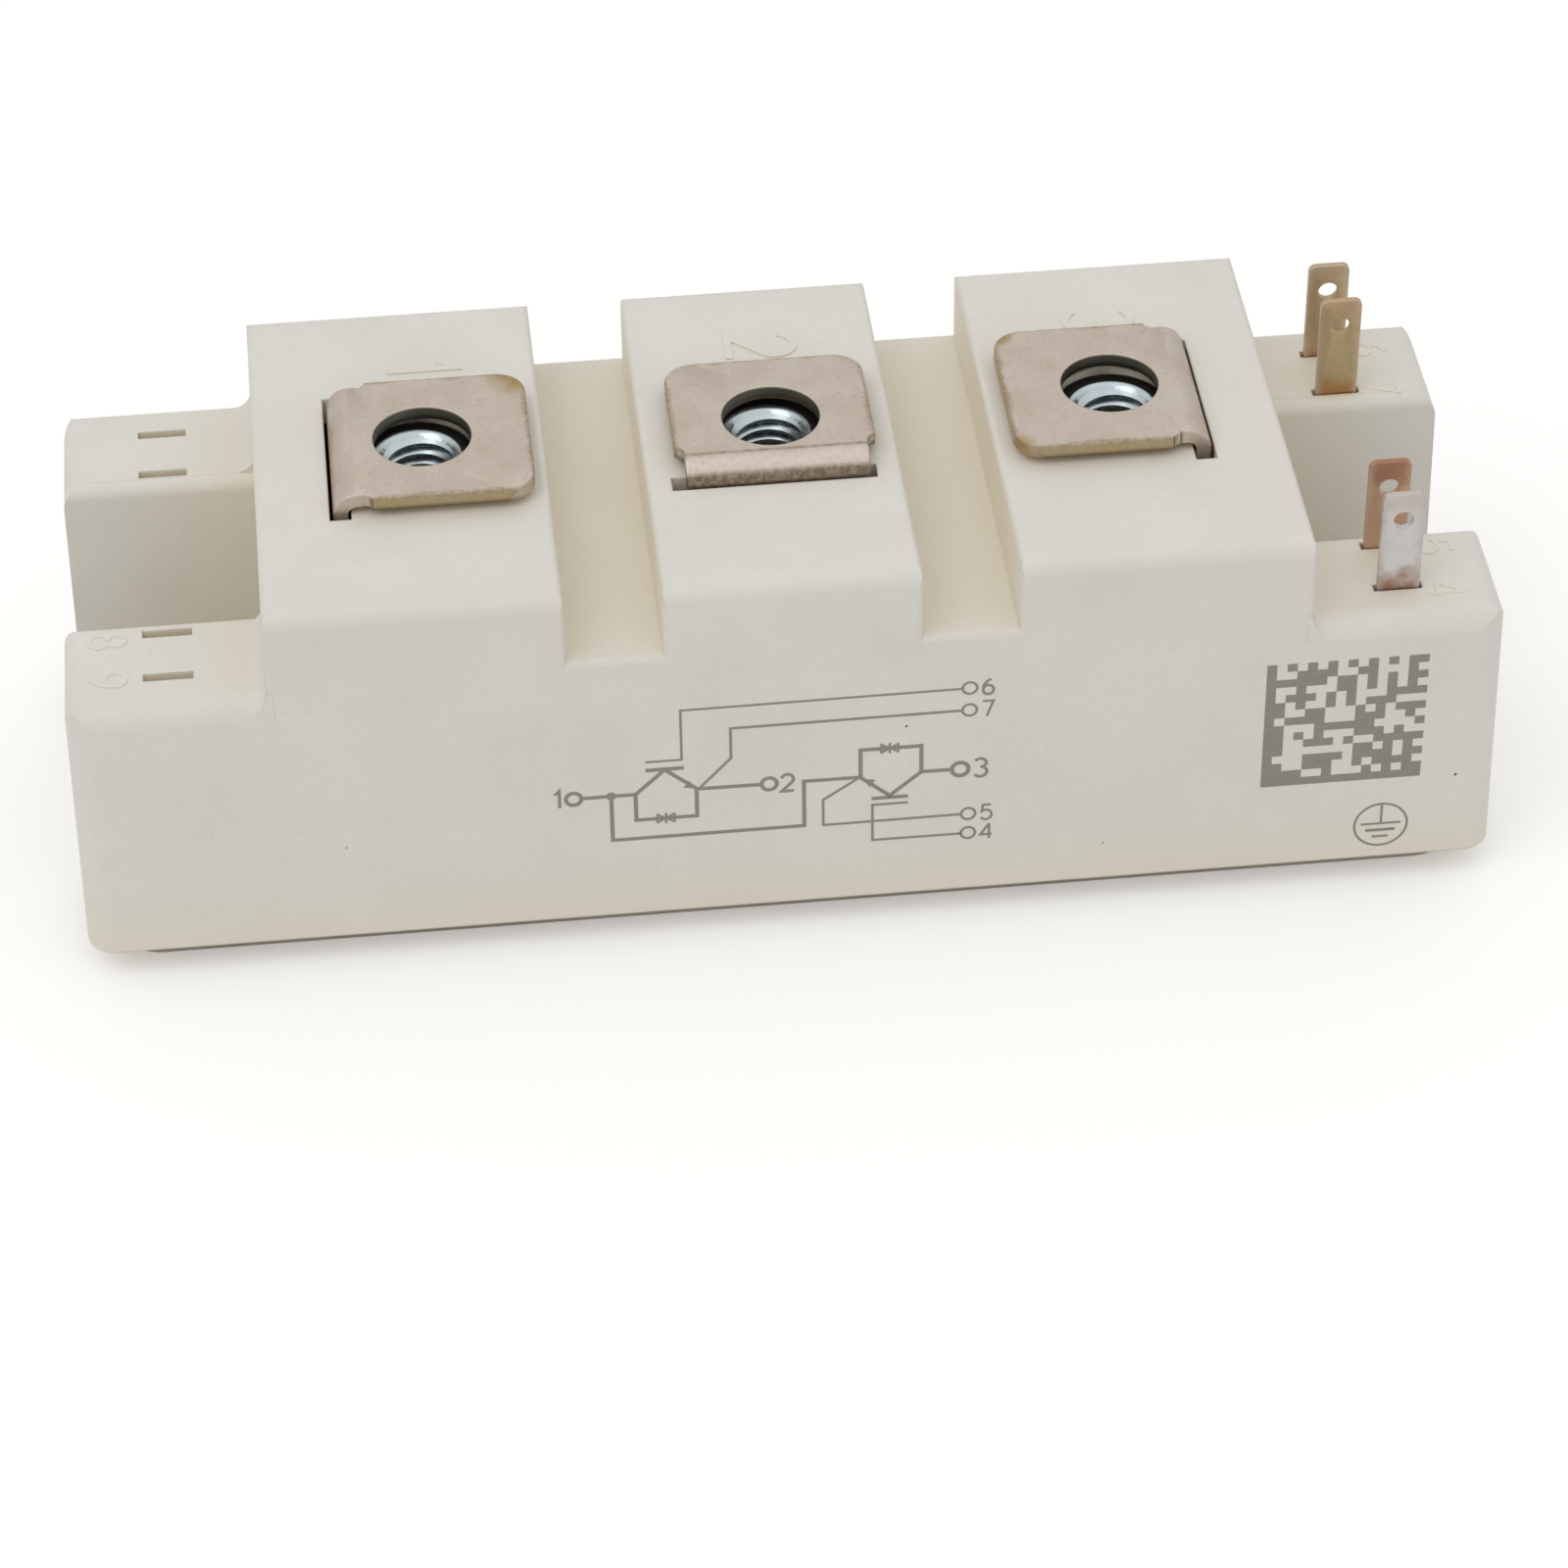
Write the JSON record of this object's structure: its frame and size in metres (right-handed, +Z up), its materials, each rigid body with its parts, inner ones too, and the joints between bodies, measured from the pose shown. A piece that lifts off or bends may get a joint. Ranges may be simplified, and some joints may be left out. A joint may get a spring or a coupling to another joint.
{
  "type": "igbt module",
  "caption": "Half-bridge power module: white moulded case on a plated copper base plate, with screw terminals on stepped towers and upright blade terminals at one end",
  "frame": {"origin": "Centre of the flat mounting face of the base plate, which lies at z = 0", "axes": "+X runs along the module from the end with empty blade slots to the end with the blade terminals, +Y across it from the printed side to the back, +Z up from the heat sink"},
  "size_m": [0.094, 0.034, 0.03],
  "materials": {
    "base_plate": "copper, nickel plated",
    "case": "fine moulded grain, cream white",
    "sealing_bead": "cured silicone adhesive",
    "solder": "dull solder",
    "substrate": "fired ceramic with a bonded copper underside",
    "tracks": "bonded copper",
    "chips": "metallised silicon",
    "bond_wires": "drawn wire",
    "screw_terminals": "plated copper, lightly tarnished",
    "nuts": "zinc plated steel",
    "blades": "tinned copper, tarnished",
    "silicone_gel": "clear soft silicone gel"
  },
  "bodies": {
    "root": {"base_plate": "base_plate", "case": "case", "sealing_bead": "sealing_bead", "solder_low": "solder", "solder_high": "solder", "substrate_low": "substrate", "substrate_high": "substrate", "tracks_low": "tracks", "tracks_high": "tracks", "igbt_chip_low": "chips", "igbt_chip_high": "chips", "diode_chip_low": "chips", "diode_chip_high": "chips", "bond_wires_low": "bond_wires", "bond_wires_high": "bond_wires", "link_wires": "bond_wires", "screw_terminal_1": "screw_terminals", "screw_terminal_2": "screw_terminals", "screw_terminal_3": "screw_terminals", "nut_1": "nuts", "nut_2": "nuts", "nut_3": "nuts", "blade_terminal_4": "blades", "blade_terminal_5": "blades", "blade_terminal_6": "blades", "blade_terminal_7": "blades", "silicone_gel": "silicone_gel"}
  },
  "joints": []
}
